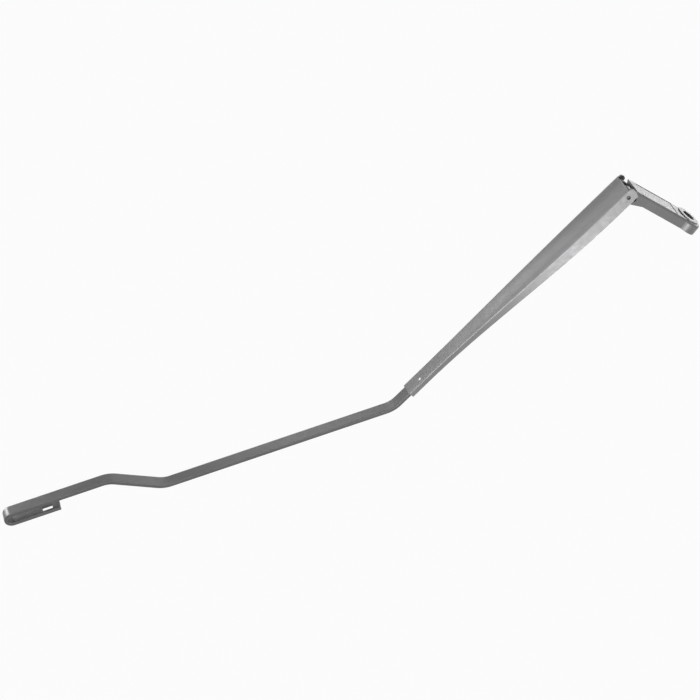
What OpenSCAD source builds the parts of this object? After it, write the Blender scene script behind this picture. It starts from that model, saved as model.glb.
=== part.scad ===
// Wiper arm: mounting head, tapered pressed channel, flat rod with a hook, and the hinge and spring
// between them. The origin is on the axis of the spindle bore, at the underside of the head.
// +Z is the spindle's axis, away from the car; +X runs from the spindle towards the hinge.
// The arm is drawn as it lies off the car, folded towards the glass side by the relaxed spring.

/* [Pose] */
// Fold of the arm from the straight working position, towards the glass side
fold = 82; // [60:1:88]

/* [Mounting head] */
// Distance from the spindle's axis to the hinge pin
head_l = 66; // [55:1:80]
// Width of the head's body
head_w = 19; // [17.5:0.1:21]
// Width of the head across its cheeks
nose_w = 16.4; // [15.6:0.1:17]
// Height of the head's side walls, top to bottom
head_h = 8.2; // [7:0.1:9]
// Wall of the cast head
head_wall = 2.2; // [1.8:0.1:2.6]
// Rounding along the head's top edges
head_round = 2; // [1:0.1:2.2]
// Radius of the eye round the spindle
eye_r = 11.5; // [10:0.1:13]
// Diameter of the spindle bore
spindle_d = 10; // [8:0.1:12]
// Radius of the raised seat of the spindle nut
nut_seat_r = 9; // [7.5:0.1:9.5]
// Height of the raised seat above the head's top
nut_seat_h = 0.8; // [0.4:0.1:1.2]
// Depth of the shallow panel in the head's top
panel_depth = 0.3; // [0.2:0.1:0.5]
// Height of the head's top above the hinge pin
head_rise = 6.8; // [6.6:0.1:7.2]

/* [Hinge] */
// Diameter of the hinge pin
pin_d = 3.2; // [3:0.1:3.4]
// Wall of the hinge bushes
bush_wall = 0.6; // [0.5:0.05:0.8]
// Thickness of the flange of a hinge bush
bush_flange = 0.5; // [0.4:0.05:0.6]
// Radius of the flange of a hinge bush
flange_r = 2.6; // [2.5:0.05:2.7]
// Thickness of each cheek of the head
cheek_t = 3; // [2.5:0.1:3.5]
// Radius of the knuckle round the hinge pin
knuckle_r = 3.2; // [3:0.05:3.3]
// Lift of the arm off the glass, from the straight working position
lift = 53; // [40:1:54]

/* [Channel] */
// Length from the hinge pin to the narrow end
channel_l = 216; // [190:1:240]
// Length of the channel's top beyond the hinge pin
channel_end = 4; // [3:0.1:4.5]
// Radius of the channel's side walls round the hinge pin
ear_r = 6.8; // [6:0.1:7.2]
// Thickness of the sheet
sheet_t = 1; // [0.9:0.05:1.2]
// Outer height of the channel at the hinge
deep_h = 11.2; // [10:0.1:12]
// Outer radius of the channel's long edges at the hinge
deep_round = 4.4; // [3.5:0.1:4.6]
// Outer radius of the channel's long edges at the narrow end
narrow_round = 1.6; // [1.4:0.05:2]
// Slope of the side walls at the hinge, from upright
flank_a = 18; // [10:1:20]
// Rise of the crowned top at the hinge
crown = 0.5; // [0.2:0.05:0.6]
// Length of the lips folded under the rod
lip_l = 26; // [15:1:40]
// Width of each folded lip
lip_w = 2.2; // [1.5:0.1:3]

/* [Rod] */
// Width of the flat rod
rod_w = 9; // [8:0.1:10]
// Thickness of the flat rod
rod_t = 3; // [2.5:0.1:3.2]
// Rounding of the rod's long edges
rod_round = 0.7; // [0.4:0.05:1]
// Length of the rod from the channel's end to the corner of the first bend
exit_l = 16; // [12:0.5:25]
// Length of the middle stretch, corner to corner
middle_l = 177; // [140:1:220]
// Length of the joggle, corner to corner
joggle_l = 42; // [35:1:60]
// Length from the joggle's last corner to the outer end of the hook
tip_l = 83; // [60:1:110]
// Angle of the first bend
bend_a = 26; // [5:1:35]
// Lean of the first bend: 0 turns away from the glass, 90 turns along the glass
bend_lean = 30; // [0:1:90]
// Angle of the joggle's bends
joggle_a = 24; // [10:1:35]
// Lean of the joggle's bends
joggle_lean = 62; // [0:1:90]
// Radius of the bends, to the rod's middle
bend_r = 24; // [15:1:30]
// Inner radius of the hook
hook_r = 3.2; // [2.5:0.1:4]
// Length of the hook's return leg, from its outer end
leg_l = 42.5; // [30:0.5:50]
// Length of the window in the return leg
window_l = 8; // [5:0.5:10]
// Width of the window in the return leg
window_w = 5; // [4.2:0.1:5.5]
// Material left between the window and the leg's end
window_end = 5.5; // [3:0.5:6]

/* [Rivet] */
// Distance of the rivet from the channel's narrow end
rivet_in = 13; // [8:0.5:18]
// Offset of the rivet from the middle of the rod
rivet_off = 2; // [0:0.1:2.2]
// Diameter of the rivet's shank
rivet_d = 2.4; // [2:0.1:2.6]
// Width of the rivet's countersunk head, beyond its shank on each side
rivet_cone = 0.6; // [0.4:0.05:0.6]
// Diameter of the dish pressed over the rivet
dish_d = 3.6; // [3.2:0.1:4]
// Depth of the dish
dish_depth = 0.5; // [0.3:0.05:0.6]

/* [Spring] */
// Distance of the spring pin from the hinge pin
lever = 4.2; // [4.1:0.05:4.3]
// Diameter of the spring pin
spring_pin_d = 2.2; // [2:0.1:2.4]
// Diameter of the spring wire
wire_d = 1.2; // [1:0.05:1.25]
// Outer diameter of the spring
coil_d = 7.8; // [7.7:0.1:8.6]
// Number of turns
turns = 32; // [20:1:36]
// Distance of the spring's front end from the hinge pin
coil_start = 15; // [14:0.5:20]
// Diameter of the draw hook's shank
shank_d = 1.4; // [1.2:0.05:1.5]
// Drop of the shank below the draw hook's eye
shank_drop = 0.2; // [0:0.05:0.4]
// Width of the draw hook's eye
hook_eye_w = 3; // [2:0.1:5]

/* [Hidden] */
$fn = 48;
// Radial running clearance of pins in bores
run_gap = 0.05;
// Clearance between parts that pass each other
pass_gap = 0.3;
// Clearance between a bush's flange and the channel's wall
side_gap = 0.2;
// Clearance of the rod inside the channel
seat_gap = 0.05;
// Overlap used only inside unions and cuts
eps = 0.01;

// Heights above the spindle bore's lower end
head_top = head_h;
hinge_z = head_top - head_rise;

// Widths across the hinge, from the head outwards
bush_face = nose_w / 2 + bush_flange;
flange_depth = head_rise - flange_r;
deep_w = 2 * (bush_face + side_gap + sheet_t / cos(flank_a) + (deep_h - flange_depth) * tan(flank_a));
narrow_w = rod_w + 2 * (seat_gap + sheet_t);

// The channel's section at the hinge: middle of its edge rounding, radius of its top, and
// height of its roof above the edge of the head's cheeks
crown_z = head_rise - crown - deep_round;
crown_y = deep_w / 2 - (deep_round + (deep_h - crown - deep_round) * sin(flank_a)) / cos(flank_a);
crown_r = (crown_y * crown_y + crown * crown) / (2 * crown) + deep_round;
roof_z = crown_z + sqrt(pow(deep_round - sheet_t, 2) - pow(nose_w / 2 - crown_y, 2));

// The channel's ears stand out beyond its top below this height
ear_step = roof_z - 0.5;
// What clears the channel's end on the head: a round end of its body, and a neck this far under its axis
clear_r = norm([channel_end, head_rise]) + pass_gap;
neck_a = lift - atan2(roof_z, channel_end) + 4;

// The hinge pin ends a little inside the sloping walls
pin_reach = deep_w / 2 - (deep_h - head_rise + pin_d / 2) * tan(flank_a) - 0.1;

// Spring and draw hook, in the arm's own frame
bush_r = pin_d / 2 + run_gap + bush_wall;
hook_bore_r = spring_pin_d / 2 + run_gap;
hook_eye_r = hook_bore_r + 1;
heel_r = spring_pin_d / 2 + 1.3;
lever_low = -lever * cos(fold) - shank_drop;
lever_deep = -lever - shank_drop;
coil_z = (lever_low + lever_deep) / 2;
coil_r = (coil_d - wire_d) / 2;
coil_pitch = wire_d + 0.12;
coil_end = coil_start + turns * coil_pitch;
shank_l = coil_start + 9;
rod_end_x = coil_end + 4;
anchor_x = rod_end_x + 5;
anchor_d = wire_d + 0.6;

// The rod lies under the crowned top, clear of where the top falls away beside the middle
crown_fall = pow(rod_w / 2 - rod_round, 2) / (2 * (crown_r - sheet_t));
rod_z = head_rise - sheet_t - seat_gap - crown_fall - rod_t / 2;
narrow_h = head_rise - rod_z + rod_t / 2 + seat_gap + sheet_t;

// Blend of the channel's sizes, 0 at the narrow end and 1 at the hinge
blend_from = 0.08;
blend_to = 0.92;
function smooth(t) = let (c = max(0, min(1, t))) c * c * (3 - 2 * c);
function blend(x) = smooth(((channel_l - x) / channel_l - blend_from) / (blend_to - blend_from));
function mix(a, b, t) = a + (b - a) * t;
function half_w(x) = mix(narrow_w, deep_w, blend(x)) / 2;
function wall_h(x) = mix(narrow_h, deep_h, blend(x));
function edge_r(x) = mix(narrow_round, deep_round, blend(x));
function rise(x) = mix(0.02, crown, blend(x));
function flank(x) = mix(0, flank_a, blend(x));

// Centre of the edge rounding across the section, tangent to the sloping wall
function edge_y(x) = let (up = wall_h(x) - rise(x) - edge_r(x))
    half_w(x) - (edge_r(x) + up * sin(flank(x))) / cos(flank(x));

// Radius of the crowned top, tangent to both edge roundings
function top_r(x) = (edge_y(x) * edge_y(x) + rise(x) * rise(x)) / (2 * rise(x)) + edge_r(x);
function edge_a(x) = asin(edge_y(x) / (top_r(x) - edge_r(x)));
edge_steps = 7;
top_steps = 8;

// Half of the channel's section from the middle of the top to the lower edge, set in by d
function half_section(x, d) = let (a = edge_a(x), t = top_r(x), e = edge_r(x))
    concat(
        [for (i = [0:top_steps / 2 - 1]) let (b = a * i / (top_steps / 2))
            [(t - d) * sin(b), head_rise - t + (t - d) * cos(b)]],
        [for (i = [0:edge_steps]) let (b = a + (90 - flank(x) - a) * i / edge_steps)
            [(t - e) * sin(a) + (e - d) * sin(b), head_rise - t + (t - e) * cos(a) + (e - d) * cos(b)]],
        [[half_w(x) - d / cos(flank(x)), head_rise - wall_h(x)]]);
function reversed(p) = [for (i = [len(p) - 1:-1:0]) p[i]];
function left_of(p) = [for (i = [len(p) - 1:-1:1]) [-p[i][0], p[i][1]]];

// Closed ring of points round the sheet at station x
function sheet_ring(x) = let (o = half_section(x, 0), i = half_section(x, sheet_t))
    [for (p = concat(left_of(o), o, reversed(i), reversed(left_of(i)))) [x, p[0], p[1]]];

module loft(rings) {
    n = len(rings[0]);
    m = len(rings);
    walls = [for (j = [0:m - 2], i = [0:n - 1])
        [j * n + i, j * n + (i + 1) % n, (j + 1) * n + (i + 1) % n, (j + 1) * n + i]];
    half = n / 2;
    // The sheet's ends are strips between its outer and its inner line
    near = [for (i = [0:half - 2]) [i, n - 1 - i, n - 2 - i, i + 1]];
    far = [for (i = [0:half - 2]) [(m - 1) * n + i, (m - 1) * n + i + 1,
                                   (m - 1) * n + n - 2 - i, (m - 1) * n + n - 1 - i]];
    polyhedron(points = [for (r = rings, p = r) p], faces = concat(walls, near, far), convexity = 6);
}

// Places what is drawn in the arm's frame: hinge pin at the origin, rod along +X, top towards +Z
module on_arm() {
    translate([head_l, 0, hinge_z])
        rotate([0, fold, 0])
            children();
}

// Cylinder across the arm, its middle at the origin
module cross_cylinder(r, l) {
    rotate([90, 0, 0])
        cylinder(r = r, h = l, center = true);
}

// Plate in the X-Z plane, y from y0 to y0 + t
module side_plate(y0, t) {
    translate([0, y0 + t, 0])
        rotate([90, 0, 0])
            linear_extrude(t)
                children();
}

// Section of the head: a U with rounded top edges, top at z = 0
module head_section(w, h, r) {
    difference() {
        union() {
            translate([-w / 2, -h])
                square([w, h - r]);
            translate([-w / 2 + r, -h])
                square([w - 2 * r, h]);
            for (s = [-1, 1])
                translate([s * (w / 2 - r), -r])
                    circle(r);
        }
        translate([-w / 2 + head_wall, -h - eps])
            square([w - 2 * head_wall, h - head_wall + eps]);
    }
}

// Eye round the spindle: outer edge rounded like the body's, with the raised nut seat
module head_eye() {
    rotate_extrude() {
        square([eye_r - head_round, head_top]);
        square([eye_r, head_top - head_round]);
        translate([eye_r - head_round, head_top - head_round])
            circle(head_round);
        square([nut_seat_r, head_top + nut_seat_h]);
    }
}

// Side view of a cheek, hinge pin at the origin: knuckle, heel for the spring pin and neck to the body
module cheek_profile() {
    root_x = -clear_r - 12;
    root_z = head_rise - head_wall / 2;
    circle(knuckle_r);
    translate([0, -lever])
        circle(heel_r);
    translate([-heel_r, -lever])
        square([2 * heel_r, lever]);
    polygon([[0, -lever - heel_r], [0, 0], [-clear_r * cos(neck_a), -clear_r * sin(neck_a)],
             [-clear_r - 1, root_z], [root_x, root_z], [root_x, -hinge_z]]);
}

module mounting_head() {
    body_end = head_l - knuckle_r;
    color("gainsboro")
    difference() {
        union() {
            difference() {
                union() {
                    head_eye();
                    // Body, open below, from the eye to the hinge
                    translate([0, 0, head_top])
                        rotate([90, 0, 90])
                            linear_extrude(body_end)
                                head_section(head_w, head_h, head_round);
                }
                // Round end of the body, which lets the channel's end pass when the arm is lifted
                translate([head_l, 0, hinge_z])
                    cross_cylinder(clear_r, 2 * head_w);
            }
            for (y = [-nose_w / 2, nose_w / 2 - cheek_t])
                translate([head_l, 0, hinge_z])
                    side_plate(y, cheek_t)
                        cheek_profile();
        }
        // Shallow panel in the top
        translate([eye_r + 4, -head_w / 2 + head_round, head_top - panel_depth])
            cube([head_l - clear_r - eye_r - 8, head_w - 2 * head_round, head_h]);
        // Spindle bore, hinge bores and spring pin's bores
        translate([0, 0, -1])
            cylinder(d = spindle_d, h = head_top + nut_seat_h + 2);
        translate([head_l, 0, hinge_z])
            cross_cylinder(bush_r, head_w + 2);
        translate([head_l, 0, hinge_z - lever])
            cross_cylinder(spring_pin_d / 2, head_w + 2);
    }
}

// Flanged bush pressed into a cheek from outside, side s is -1 or 1
module hinge_bush(s) {
    color("dimgray")
    translate([head_l, s * nose_w / 2, hinge_z])
        rotate([-90 * s, 0, 0])
            difference() {
                union() {
                    translate([0, 0, -cheek_t])
                        cylinder(r = bush_r, h = cheek_t);
                    cylinder(r = flange_r, h = bush_flange);
                }
                translate([0, 0, -cheek_t - 1])
                    cylinder(r = pin_d / 2 + run_gap, h = cheek_t + bush_flange + 2);
            }
}

module hinge_bush_left() {
    hinge_bush(1);
}

module hinge_bush_right() {
    hinge_bush(-1);
}

module hinge_pin() {
    color("silver")
    on_arm()
        cross_cylinder(pin_d / 2, 2 * pin_reach);
}

module spring_pin() {
    color("darkgray")
    translate([head_l, 0, hinge_z - lever])
        cross_cylinder(spring_pin_d / 2, nose_w - 0.4);
}

// Draw hook: an eye on the spring pin and a shank that runs into the coil
module draw_hook() {
    color("darkgray")
    on_arm()
        translate([lever * sin(fold), 0, -lever * cos(fold)])
            difference() {
                union() {
                    cross_cylinder(hook_eye_r, hook_eye_w);
                    translate([0, 0, -shank_drop])
                        rotate([0, 90, 0])
                            cylinder(d = shank_d, h = shank_l);
                    translate([shank_l, 0, -shank_drop])
                        sphere(d = shank_d);
                }
                cross_cylinder(hook_bore_r, hook_eye_w + 2);
            }
}

// Side view of what is cut off the channel's hinge end: the walls end in round ears
module end_cutter() {
    far_x = -channel_end - ear_r;
    difference() {
        translate([far_x, -deep_h])
            square([-far_x, 2 * deep_h]);
        intersection() {
            circle(ear_r);
            translate([far_x, ear_step - 2 * deep_h])
                square([-far_x, 2 * deep_h]);
        }
        translate([-channel_end, 0])
            square([channel_end + 1, 2 * deep_h]);
    }
}

module arm_channel() {
    x0 = -ear_r - 1;
    stations = 26;
    rings = [for (i = [0:stations]) sheet_ring(mix(x0, channel_l, i / stations))];
    color("gray")
    on_arm()
        difference() {
            union() {
                loft(rings);
                // Lips folded under the rod
                for (s = [-1, 1])
                    translate([channel_l - lip_l, s > 0 ? rod_w / 2 + seat_gap - lip_w : -rod_w / 2 - seat_gap - sheet_t / 2,
                               head_rise - narrow_h])
                        cube([lip_l, lip_w + sheet_t / 2, sheet_t]);
            }
            rotate([90, 0, 0])
                linear_extrude(2 * deep_w, center = true)
                    end_cutter();
            cross_cylinder(pin_d / 2, deep_w + 2);
            translate([channel_l - rivet_in, rivet_off, rod_z])
                cylinder(d = rivet_d, h = 20);
            rivet_dish();
        }
}

// Frames along the rod: [place, direction, width, outward], moved on by runs and bends
function go(f, l) = [f[0] + l * f[1], f[1], f[2], f[3]];
function spin(v, k, a) = v * cos(a) + cross(k, v) * sin(a) + k * (k * v) * (1 - cos(a));
function turned(f, a, lean, r) = let (d = cos(lean) * f[3] - sin(lean) * f[2], k = cross(f[1], d))
    [f[0] + r * sin(a) * f[1] + r * (1 - cos(a)) * d, spin(f[1], k, a), spin(f[2], k, a), spin(f[3], k, a)];
function moved(f, m) = len(m) == 1 ? [go(f, m[0])] : let (n = ceil(m[0] / m[3]))
    [for (j = [1:n]) turned(f, m[0] * j / n, m[1], m[2])];
function route(f, moves, i = 0) = i == len(moves) ? [] :
    let (s = moved(f, moves[i])) concat(s, route(s[len(s) - 1], moves, i + 1));

// The rod's section: a rectangle with rounded edges, counter-clockwise in width and thickness
corner_steps = 4;
rod_section = [for (c = [[1, 1], [-1, 1], [-1, -1], [1, -1]], i = [0:corner_steps])
    let (q = c == [1, 1] ? 0 : c == [-1, 1] ? 90 : c == [-1, -1] ? 180 : 270, a = q + 90 * i / corner_steps)
    [c[0] * (rod_w / 2 - rod_round) + rod_round * cos(a), c[1] * (rod_t / 2 - rod_round) + rod_round * sin(a)]];

// Runs are [length], bends are [angle, lean, radius, step]
hook_mid_r = hook_r + rod_t / 2;
first_cut = bend_r * tan(bend_a / 2);
second_cut = bend_r * tan(joggle_a / 2);
rod_moves = [
    [channel_l - rod_end_x + exit_l - first_cut],
    [bend_a, bend_lean, bend_r, 4],
    [middle_l - first_cut - second_cut],
    [joggle_a, joggle_lean, bend_r, 4],
    [joggle_l - 2 * second_cut],
    [joggle_a, joggle_lean + 180, bend_r, 4],
    [tip_l - second_cut - hook_mid_r - rod_t / 2],
    [180, 180, hook_mid_r, 7.5],
    [leg_l - hook_mid_r - rod_t / 2]];
rod_start = [[rod_end_x, 0, rod_z], [1, 0, 0], [0, 1, 0], [0, 0, 1]];
rod_frames = concat([rod_start], route(rod_start, rod_moves));

module flat_rod() {
    tip = rod_frames[len(rod_frames) - 1];
    window = go(tip, -window_end - window_l / 2);
    color("gray")
    on_arm()
        difference() {
            tube([for (f = rod_frames) [for (q = rod_section) f[0] + q[0] * f[2] + q[1] * f[3]]]);
            // Window in the return leg
            multmatrix([for (i = [0:2]) [window[1][i], window[2][i], window[3][i], window[0][i]]])
                cube([window_l, window_w, 2 * rod_t], center = true);
            translate([anchor_x, 0, 0])
                cylinder(d = anchor_d, h = 20);
            rivet_shape(20);
        }
}

// Shank with a countersunk head flush with the rod's underside
module rivet_shape(l) {
    translate([channel_l - rivet_in, rivet_off, rod_z - rod_t / 2]) {
        cylinder(d = rivet_d, h = l);
        cylinder(d1 = rivet_d + 2 * rivet_cone, d2 = rivet_d, h = rivet_cone);
    }
}

// Shallow dish pressed into the channel's top and the rivet's end
module rivet_dish() {
    dish_r = (dish_d * dish_d / 4 + dish_depth * dish_depth) / (2 * dish_depth);
    translate([channel_l - rivet_in, rivet_off, head_rise - dish_depth + dish_r])
        sphere(dish_r);
}

module rod_rivet() {
    color("silver")
    on_arm()
        difference() {
            rivet_shape(head_rise - rod_z + rod_t / 2);
            rivet_dish();
        }
}

// Wire's middle line: the coil, a lead to its axis and a rear hook up through the rod
wire_steps = 14;
hook_bend_r = 2.2;
function coil_point(i) = let (a = 360 * i / wire_steps)
    [coil_start + wire_d / 2 + coil_pitch * i / wire_steps, coil_r * sin(a), coil_z + coil_r * cos(a)];
function lead_point(t) = [mix(coil_end + wire_d / 2, coil_end + 4, t), 0,
                          mix(coil_z + coil_r, coil_z, smooth(t))];
function hook_point(a) = [anchor_x - hook_bend_r + hook_bend_r * sin(a), 0, coil_z + hook_bend_r * (1 - cos(a))];
wire_path = concat(
    [for (i = [0:turns * wire_steps]) coil_point(i)],
    [for (t = [0.25:0.25:1]) lead_point(t)],
    [for (a = [0:22.5:90]) hook_point(a)],
    [[anchor_x, 0, rod_z + rod_t / 2 - 0.4]]);
wire_sides = 6;
function unit(v) = v / norm(v);
function tangent(p, i) = unit(p[min(i + 1, len(p) - 1)] - p[max(i - 1, 0)]);

module tension_spring() {
    axis = [0, 0, coil_z];
    n = len(wire_path);
    // Rings turn about the coil's own radius, and about the plane of the hook behind it
    rings = [for (i = [0:n - 1]) let (
            t = tangent(wire_path, i),
            out = i <= turns * wire_steps ? unit([0, wire_path[i][1], wire_path[i][2] - coil_z]) : [0, 1, 0],
            u = unit(cross(t, out)),
            v = cross(u, t))
        [for (k = [0:wire_sides - 1]) let (a = 360 * k / wire_sides)
            wire_path[i] + wire_d / 2 * (cos(a) * v + sin(a) * u)]];
    color("darkgray")
    on_arm()
        tube(rings);
}

module tube(rings) {
    n = len(rings[0]);
    m = len(rings);
    walls = [for (j = [0:m - 2], i = [0:n - 1])
        [j * n + i, (j + 1) * n + i, (j + 1) * n + (i + 1) % n, j * n + (i + 1) % n]];
    near = [[for (i = [0:n - 1]) i]];
    far = [[for (i = [n - 1:-1:0]) (m - 1) * n + i]];
    polyhedron(points = [for (r = rings, p = r) p], faces = concat(walls, near, far), convexity = 10);
}

mounting_head();
hinge_bush_left();
hinge_bush_right();
hinge_pin();
spring_pin();
draw_hook();
arm_channel();
flat_rod();
rod_rivet();
tension_spring();
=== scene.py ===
"""Wiper arm: materials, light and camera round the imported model."""
import math

import bpy
from mathutils import Matrix, Vector


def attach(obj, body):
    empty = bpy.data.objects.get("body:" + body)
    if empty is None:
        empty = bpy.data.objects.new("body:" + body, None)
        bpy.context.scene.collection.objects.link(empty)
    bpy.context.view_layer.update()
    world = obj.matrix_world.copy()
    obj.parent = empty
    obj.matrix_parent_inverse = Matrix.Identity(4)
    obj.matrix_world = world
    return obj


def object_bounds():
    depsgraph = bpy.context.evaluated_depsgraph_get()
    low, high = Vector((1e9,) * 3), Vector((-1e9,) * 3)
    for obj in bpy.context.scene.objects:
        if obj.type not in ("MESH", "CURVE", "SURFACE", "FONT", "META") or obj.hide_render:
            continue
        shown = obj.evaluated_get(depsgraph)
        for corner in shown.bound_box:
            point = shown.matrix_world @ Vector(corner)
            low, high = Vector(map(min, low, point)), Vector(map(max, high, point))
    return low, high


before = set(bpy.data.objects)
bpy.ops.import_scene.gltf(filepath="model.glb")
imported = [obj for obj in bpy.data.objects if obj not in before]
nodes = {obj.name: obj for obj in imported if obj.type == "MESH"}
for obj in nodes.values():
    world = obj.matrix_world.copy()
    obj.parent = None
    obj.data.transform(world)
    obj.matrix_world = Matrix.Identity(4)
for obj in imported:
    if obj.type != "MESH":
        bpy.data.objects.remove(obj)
cad_box = [list(map(float, v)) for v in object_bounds()]
scene = bpy.context.scene

# Camera, fitted to the photograph: its right and backward axes in the model's frame,
# its distance from the hinge, and where the hinge pin's middle lies in the picture
RIGHT = Vector((-0.6849, 0.3833, 0.6197))
BACK = Vector((0.6358, 0.7297, 0.2515))
HINGE = Vector((0.066, 0.0, 0.0014))
DISTANCE = 5.0
PIXELS_PER_METRE = 1375.6
HINGE_PIXEL = (622.6, 189.7)
FRAME_PIXELS = 700.0
SENSOR_WIDTH = 36.0
FARTHEST_SEEN = 50.0

# Noise patterns are (cells per metre, detail), used over this part of their range
NOISE_SPAN = (0.3, 0.7)

# Paint; each spread goes to both sides of the middle value
BLUE_TINT = 1.01
PAINT_GREY = 0.20
# The rod wears the channel's paint; its darker grey here is painted shade along the rod
ROD_SHADED_GREY = 0.115
PAINT_METALLIC = 0.3
PAINT_ROUGH = 0.38
FLAKE = (2600.0, 2.0)
FLAKE_SPREAD = 0.05
CLOUD = (38.0, 4.0)
CLOUD_SPAN = (0.35, 0.65)
CLOUD_DARKEST = 0.90
SATIN = (320.0, 4.0)
SATIN_SPREAD = 0.04
BUMP_STRENGTH = 0.5
# Orange peel as a pattern and its height in metres, on rolled pieces and on the casting
ROLLED_PEEL = ((700.0, 2.0), 0.00001)
CAST_PEEL = ((240.0, 2.0), 0.00002)

# Bare metal and polymer
GRAIN = (700.0, 3.0)
GRAIN_DARKEST, GRAIN_LIGHTEST = 0.85, 1.1
WEAR = (1500.0, 2.0)
WEAR_SPREAD = 0.06

# Smooth shading of the nodes whose curves are made of flat facets
FACETED = ("arm_channel", "flat_rod", "tension_spring")
JOIN_WITHIN = 2e-6
SHARP_FROM_DEGREES = 32.0

# The head's nose, in mm; the channel's inner roof over it, then the nose's own profile
MM_PER_METRE = 1000
ROOF_TOP = 5.8
ROOF_RADIUS = 36.6
ROOF_EDGE_Y = 5.55
ROOF_EDGE_Z = 1.95
ROOF_EDGE_R = 3.4
NOSE_GAP = 0.45
NOSE_INNER = 2.5
NOSE_SLOT = 2.1
NOSE_SIDE = 8.15
NOSE_FLANK_DROP = 0.35
# Where the crown starts and ends, measured from the slot's wall and from the outer side
CROWN_FROM_SLOT = 0.25
CROWN_FROM_SIDE = 0.3
CROWN_STEPS = 14
# One point on each rounded corner: how far in from the wall, how far under the crown
SLOT_CORNER = (0.08, 0.12)
SIDE_CORNER = (0.1, 0.05)
NOSE_FROM_DEGREES = 0.0
NOSE_TO_DEGREES = 205.0
NOSE_STEPS = 34
NOSE_SHARP_DEGREES = 40.0

# Floor and world; the arm hangs free above the floor, as in the photograph
FLOOR_DROP = 0.6
FLOOR_HALF = 30.0
FLOOR_GREY = 0.86
FLOOR_ROUGH = 0.9
FLOOR_WHITE_SHARE = 0.96
WORLD_FRONT = 0.10
WORLD_BEHIND = 0.30
WORLD_SPAN = (0.0, 1.0)
WORLD_SHOWN = 0.97

# What the lamps are aimed at
MIDDLE = (0.14, -0.03, -0.24)
CHANNEL = (0.05, 0.0, -0.12)
HOOK = (0.254, -0.078, -0.465)
BEND = (0.136, -0.014, -0.282)
# Name, target, direction from the target to the lamp, distance and side in metres, watts
LAMPS = [
    ("left", CHANNEL, (0.905, -0.425, -0.036), 3.3, 1.60, 14.0),
    ("side", CHANNEL, (0.975, 0.210, -0.026), 1.2, 0.70, 2.9),
    ("front", CHANNEL, (0.618, 0.781, -0.076), 1.2, 0.60, 2.45),
    ("low", CHANNEL, (-0.085, 0.981, -0.174), 0.9, 0.26, 4.0),
    ("top", BEND, (0.584, -0.668, 0.462), 0.35, 0.12, 0.15),
    ("patch", HOOK, (0.616, -0.783, -0.056), 0.15, 0.07, 0.22),
    ("rim", CHANNEL, (-0.672, -0.480, 0.563), 1.0, 0.50, 2.7),
    ("rear", MIDDLE, (-0.155, -0.981, 0.119), 1.4, 0.80, 1.3),
]


def place_camera():
    """Looks along -BACK; the picture's middle lies left of and below the hinge."""
    back = BACK.normalized()
    right = (RIGHT - RIGHT.dot(back) * back).normalized()
    up = back.cross(right)
    x0 = (HINGE_PIXEL[0] - FRAME_PIXELS / 2) / PIXELS_PER_METRE
    y0 = (FRAME_PIXELS / 2 - HINGE_PIXEL[1]) / PIXELS_PER_METRE
    target = HINGE - x0 * right - y0 * up
    data = bpy.data.cameras.new("camera")
    data.sensor_fit = "HORIZONTAL"
    data.sensor_width = SENSOR_WIDTH
    data.lens = SENSOR_WIDTH * DISTANCE / (FRAME_PIXELS / PIXELS_PER_METRE)
    data.clip_end = FARTHEST_SEEN
    cam = bpy.data.objects.new("camera", data)
    turn = Matrix((right, up, back)).transposed().to_4x4()
    cam.matrix_world = Matrix.Translation(target + DISTANCE * back) @ turn
    scene.collection.objects.link(cam)
    scene.camera = cam


def grey(value):
    return (value, value, value * BLUE_TINT, 1.0)


def new_material(name):
    mat = bpy.data.materials.new(name)
    mat.use_nodes = True
    tree = mat.node_tree
    tree.nodes.clear()
    out = tree.nodes.new("ShaderNodeOutputMaterial")
    bsdf = tree.nodes.new("ShaderNodeBsdfPrincipled")
    tree.links.new(bsdf.outputs["BSDF"], out.inputs["Surface"])
    return mat, tree, bsdf


def noise(tree, pattern):
    scale, detail = pattern
    coords = tree.nodes.new("ShaderNodeTexCoord")
    node = tree.nodes.new("ShaderNodeTexNoise")
    node.inputs["Scale"].default_value = scale
    node.inputs["Detail"].default_value = detail
    tree.links.new(coords.outputs["Object"], node.inputs["Vector"])
    return node.outputs["Fac"]


def ramp(tree, source, low, high, span=NOISE_SPAN):
    """Grey low where the source is under the span, rising to high where it is over it."""
    node = tree.nodes.new("ShaderNodeValToRGB")
    for element, position, value in zip(node.color_ramp.elements, span, (low, high)):
        element.position = position
        element.color = grey(value)
    tree.links.new(source, node.inputs["Fac"])
    return node.outputs["Color"]


def painted(name, value, metallic=PAINT_METALLIC, rough=PAINT_ROUGH, peel=ROLLED_PEEL):
    """Satin silver-grey paint: soft metallic sheen, fine flake, clouding, faint orange peel."""
    mat, tree, bsdf = new_material(name)
    flake = ramp(tree, noise(tree, FLAKE),
                 value * (1.0 - FLAKE_SPREAD), value * (1.0 + FLAKE_SPREAD))
    cloud = ramp(tree, noise(tree, CLOUD), CLOUD_DARKEST, 1.0, CLOUD_SPAN)
    mix = tree.nodes.new("ShaderNodeMix")
    mix.data_type = "RGBA"
    mix.blend_type = "MULTIPLY"
    mix.inputs["Factor"].default_value = 1.0
    tree.links.new(flake, mix.inputs["A"])
    tree.links.new(cloud, mix.inputs["B"])
    tree.links.new(mix.outputs["Result"], bsdf.inputs["Base Color"])
    bsdf.inputs["Metallic"].default_value = metallic
    satin = ramp(tree, noise(tree, SATIN), rough - SATIN_SPREAD, rough + SATIN_SPREAD)
    tree.links.new(satin, bsdf.inputs["Roughness"])
    peel_pattern, peel_height = peel
    bump = tree.nodes.new("ShaderNodeBump")
    bump.inputs["Strength"].default_value = BUMP_STRENGTH
    bump.inputs["Distance"].default_value = peel_height
    tree.links.new(noise(tree, peel_pattern), bump.inputs["Height"])
    tree.links.new(bump.outputs["Normal"], bsdf.inputs["Normal"])
    return mat


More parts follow.
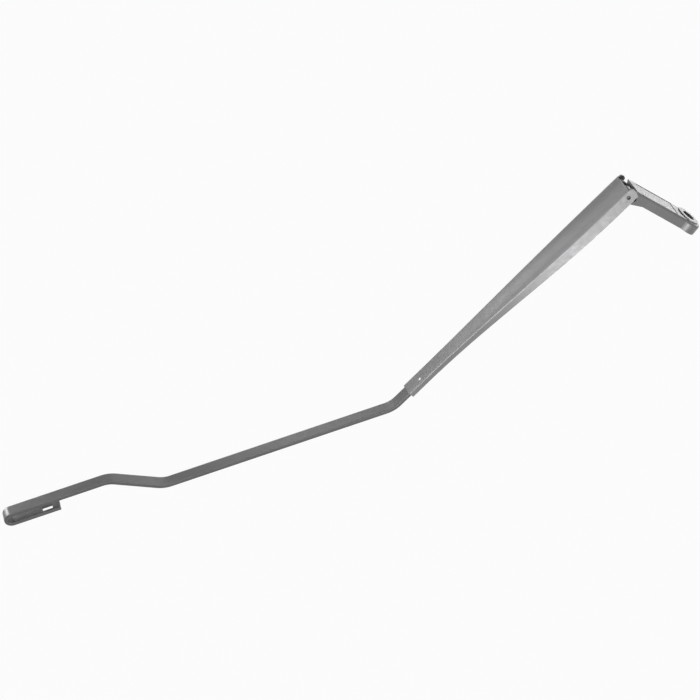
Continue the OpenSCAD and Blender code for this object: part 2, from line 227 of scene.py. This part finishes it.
def bare(name, value, rough, metallic=1.0):
    """Bare steel with a fine grain, or a polymer where metallic is 0."""
    mat, tree, bsdf = new_material(name)
    grain = ramp(tree, noise(tree, GRAIN), value * GRAIN_DARKEST, value * GRAIN_LIGHTEST)
    tree.links.new(grain, bsdf.inputs["Base Color"])
    bsdf.inputs["Metallic"].default_value = metallic
    wear = ramp(tree, noise(tree, WEAR), rough - WEAR_SPREAD, rough + WEAR_SPREAD)
    tree.links.new(wear, bsdf.inputs["Roughness"])
    return mat


def smooth_shading():
    """Node group that joins the facets' corners and shades all but sharp edges smooth."""
    tree = bpy.data.node_groups.new("smooth_shading", "GeometryNodeTree")
    for way in ("INPUT", "OUTPUT"):
        tree.interface.new_socket("Geometry", in_out=way, socket_type="NodeSocketGeometry")

    def shade(domain, smooth):
        node = tree.nodes.new("GeometryNodeSetShadeSmooth")
        node.domain = domain
        node.inputs["Shade Smooth"].default_value = smooth
        return node

    start = tree.nodes.new("NodeGroupInput")
    end = tree.nodes.new("NodeGroupOutput")
    merge = tree.nodes.new("GeometryNodeMergeByDistance")
    merge.inputs["Distance"].default_value = JOIN_WITHIN
    drop = tree.nodes.new("GeometryNodeRemoveAttribute")
    drop.inputs["Name"].default_value = "custom_normal"
    faces = shade("FACE", True)
    edges = shade("EDGE", True)
    sharp = shade("EDGE", False)
    angle = tree.nodes.new("GeometryNodeInputMeshEdgeAngle")
    above = tree.nodes.new("FunctionNodeCompare")
    above.operation = "GREATER_THAN"
    above.inputs["B"].default_value = math.radians(SHARP_FROM_DEGREES)
    tree.links.new(angle.outputs["Unsigned Angle"], above.inputs["A"])
    tree.links.new(above.outputs["Result"], sharp.inputs["Selection"])
    chain = [start, merge, drop, faces, edges, sharp, end]
    for one, other in zip(chain, chain[1:]):
        tree.links.new(one.outputs[0], other.inputs[0])
    return tree


def dress(looks):
    """Gives each CAD node its material, and the faceted ones their shading modifiers."""
    shading = smooth_shading()
    for name, material in looks.items():
        obj = nodes[name]
        for slot in obj.material_slots:
            slot.material = material
        if name in FACETED:
            obj.modifiers.new("shading", "NODES").node_group = shading
            weigh = obj.modifiers.new("weigh", "WEIGHTED_NORMAL")
            weigh.mode = "FACE_AREA"
            weigh.keep_sharp = True


def nose_top(y):
    """The nose's height above the hinge pin at y: the channel's inner roof less the gap."""
    if y < ROOF_EDGE_Y:
        return ROOF_TOP - y * y / (2 * ROOF_RADIUS) - NOSE_GAP
    return ROOF_EDGE_Z + math.sqrt(ROOF_EDGE_R ** 2 - (y - ROOF_EDGE_Y) ** 2) - NOSE_GAP


def nose_profile():
    """One lobe's section as (across, height) points, from the slot's wall to the outer side."""
    crown_from = NOSE_SLOT + CROWN_FROM_SLOT
    crown_width = NOSE_SIDE - CROWN_FROM_SIDE - NOSE_SLOT - CROWN_FROM_SLOT
    slot_top, side_top = nose_top(NOSE_SLOT), nose_top(NOSE_SIDE)
    line = [(NOSE_SLOT, NOSE_INNER), (NOSE_SLOT, slot_top - NOSE_FLANK_DROP),
            (NOSE_SLOT + SLOT_CORNER[0], slot_top - SLOT_CORNER[1])]
    for i in range(CROWN_STEPS + 1):
        y = crown_from + crown_width * i / CROWN_STEPS
        line.append((y, nose_top(y)))
    return line + [(NOSE_SIDE - SIDE_CORNER[0], side_top - SIDE_CORNER[1]),
                   (NOSE_SIDE, side_top - NOSE_FLANK_DROP), (NOSE_SIDE, NOSE_INNER)]


def make_nose(material):
    """The head's rounded nose between the channel's walls, two lobes beside the draw hook."""
    line = nose_profile()
    n = len(line)
    points, faces = [], []
    for side in (1, -1):
        rings = []
        for j in range(NOSE_STEPS + 1):
            turned = NOSE_FROM_DEGREES + (NOSE_TO_DEGREES - NOSE_FROM_DEGREES) * j / NOSE_STEPS
            a = math.radians(turned)
            rings.append(list(range(len(points), len(points) + n)))
            points += [(HINGE.x + r * math.cos(a) / MM_PER_METRE, side * y / MM_PER_METRE,
                        HINGE.z + r * math.sin(a) / MM_PER_METRE) for y, r in line]
        # The second lobe is the first one's mirror image, so its faces are turned round
        for low, high in zip(rings, rings[1:]):
            for i in range(n):
                k = (i + 1) % n
                faces.append([low[i], low[k], high[k], high[i]][::side])
        faces += [rings[0][::-side], rings[-1][::side]]
    mesh = bpy.data.meshes.new("head_nose")
    mesh.from_pydata(points, [], faces)
    mesh.shade_smooth()
    mesh.set_sharp_from_angle(angle=math.radians(NOSE_SHARP_DEGREES))
    mesh.materials.append(material)
    nose = bpy.data.objects.new("head_nose", mesh)
    scene.collection.objects.link(nose)
    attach(nose, "head")


def seen(tree):
    """1 for the rays that show the background: camera rays, reflections, rays through glass."""
    path = tree.nodes.new("ShaderNodeLightPath")
    total = path.outputs["Is Camera Ray"]
    for output in ("Is Glossy Ray", "Is Transmission Ray"):
        either = tree.nodes.new("ShaderNodeMath")
        either.operation = "MAXIMUM"
        tree.links.new(total, either.inputs[0])
        tree.links.new(path.outputs[output], either.inputs[1])
        total = either.outputs[0]
    return total


def mixed(tree, one, other):
    """Mix Shader node of one, where its Fac is 0, and the other, where it is 1."""
    node = tree.nodes.new("ShaderNodeMixShader")
    tree.links.new(one, node.inputs[1])
    tree.links.new(other, node.inputs[2])
    return node


def make_floor():
    """Pale paper, nearly pure white where it is seen, still with the object's shadow."""
    low = cad_box[0][2] - FLOOR_DROP
    mesh = bpy.data.meshes.new("floor")
    corners = ((-1, -1), (1, -1), (1, 1), (-1, 1))
    mesh.from_pydata([(x * FLOOR_HALF, y * FLOOR_HALF, low) for x, y in corners],
                     [], [(0, 1, 2, 3)])
    floor = bpy.data.objects.new("floor", mesh)
    scene.collection.objects.link(floor)
    mat, tree, bsdf = new_material("floor_paper")
    bsdf.inputs["Base Color"].default_value = (FLOOR_GREY, FLOOR_GREY, FLOOR_GREY, 1.0)
    bsdf.inputs["Roughness"].default_value = FLOOR_ROUGH
    glow = tree.nodes.new("ShaderNodeEmission")
    paper = bsdf.outputs["BSDF"]
    whitened = mixed(tree, paper, glow.outputs["Emission"])
    whitened.inputs["Fac"].default_value = FLOOR_WHITE_SHARE
    surface = mixed(tree, paper, whitened.outputs["Shader"])
    tree.links.new(seen(tree), surface.inputs["Fac"])
    out = tree.get_output_node("ALL")
    tree.links.new(surface.outputs["Shader"], out.inputs["Surface"])
    mesh.materials.append(mat)


def make_world():
    """White where it is seen or reflected; as a light, soft and brighter behind the object."""
    world = bpy.data.worlds.new("studio")
    world.use_nodes = True
    tree = world.node_tree
    tree.nodes.clear()
    out = tree.nodes.new("ShaderNodeOutputWorld")
    coords = tree.nodes.new("ShaderNodeTexCoord")
    dot = tree.nodes.new("ShaderNodeVectorMath")
    dot.operation = "DOT_PRODUCT"
    dot.inputs[1].default_value = -BACK
    tree.links.new(coords.outputs["Generated"], dot.inputs[0])
    level = ramp(tree, dot.outputs["Value"], WORLD_FRONT, WORLD_BEHIND, WORLD_SPAN)
    soft = tree.nodes.new("ShaderNodeBackground")
    tree.links.new(level, soft.inputs["Color"])
    shown = tree.nodes.new("ShaderNodeBackground")
    shown.inputs["Color"].default_value = (WORLD_SHOWN, WORLD_SHOWN, WORLD_SHOWN, 1.0)
    mix = mixed(tree, soft.outputs["Background"], shown.outputs["Background"])
    tree.links.new(seen(tree), mix.inputs["Fac"])
    tree.links.new(mix.outputs["Shader"], out.inputs["Surface"])
    scene.world = world


def lamp(name, target, way, distance, size, power):
    """A square soft box at that distance from the target, facing it."""
    data = bpy.data.lights.new(name, "AREA")
    data.shape = "SQUARE"
    data.size = size
    data.energy = power
    obj = bpy.data.objects.new(name, data)
    way = Vector(way).normalized()
    obj.location = Vector(target) + distance * way
    obj.rotation_euler = way.to_track_quat("Z", "Y").to_euler()
    obj.visible_camera = False
    scene.collection.objects.link(obj)


# Paint takes its grey; bare metal and polymer their grey and roughness
looks = {
    "mounting_head": painted("paint_on_casting", PAINT_GREY, peel=CAST_PEEL),
    "arm_channel": painted("paint_on_sheet", PAINT_GREY),
    # The rod's darker grey is painted shade, not a different paint
    "flat_rod": painted("paint_on_bar_with_painted_shade", ROD_SHADED_GREY),
    # The rivet's lighter paint is a painted highlight on its dome; its gloss also reflects the
    # white surroundings
    "rod_rivet": painted("paint_on_rivet_with_painted_highlight", 0.42, metallic=0.8, rough=0.25),
    "hinge_pin": painted("paint_on_pin", PAINT_GREY, rough=0.36),
    "spring_pin": bare("pin_steel", 0.45, 0.35),
    "draw_hook": bare("plated_wire", 0.4, 0.4),
    "tension_spring": bare("spring_wire", 0.35, 0.42),
    "hinge_bush_left": bare("bush_left_polymer", 0.06, 0.55, metallic=0.0),
    "hinge_bush_right": bare("bush_right_polymer", 0.06, 0.55, metallic=0.0),
}

place_camera()
dress(looks)
make_nose(looks["mounting_head"])
make_floor()
make_world()
for row in LAMPS:
    lamp(*row)

scene.view_settings.view_transform = "Standard"
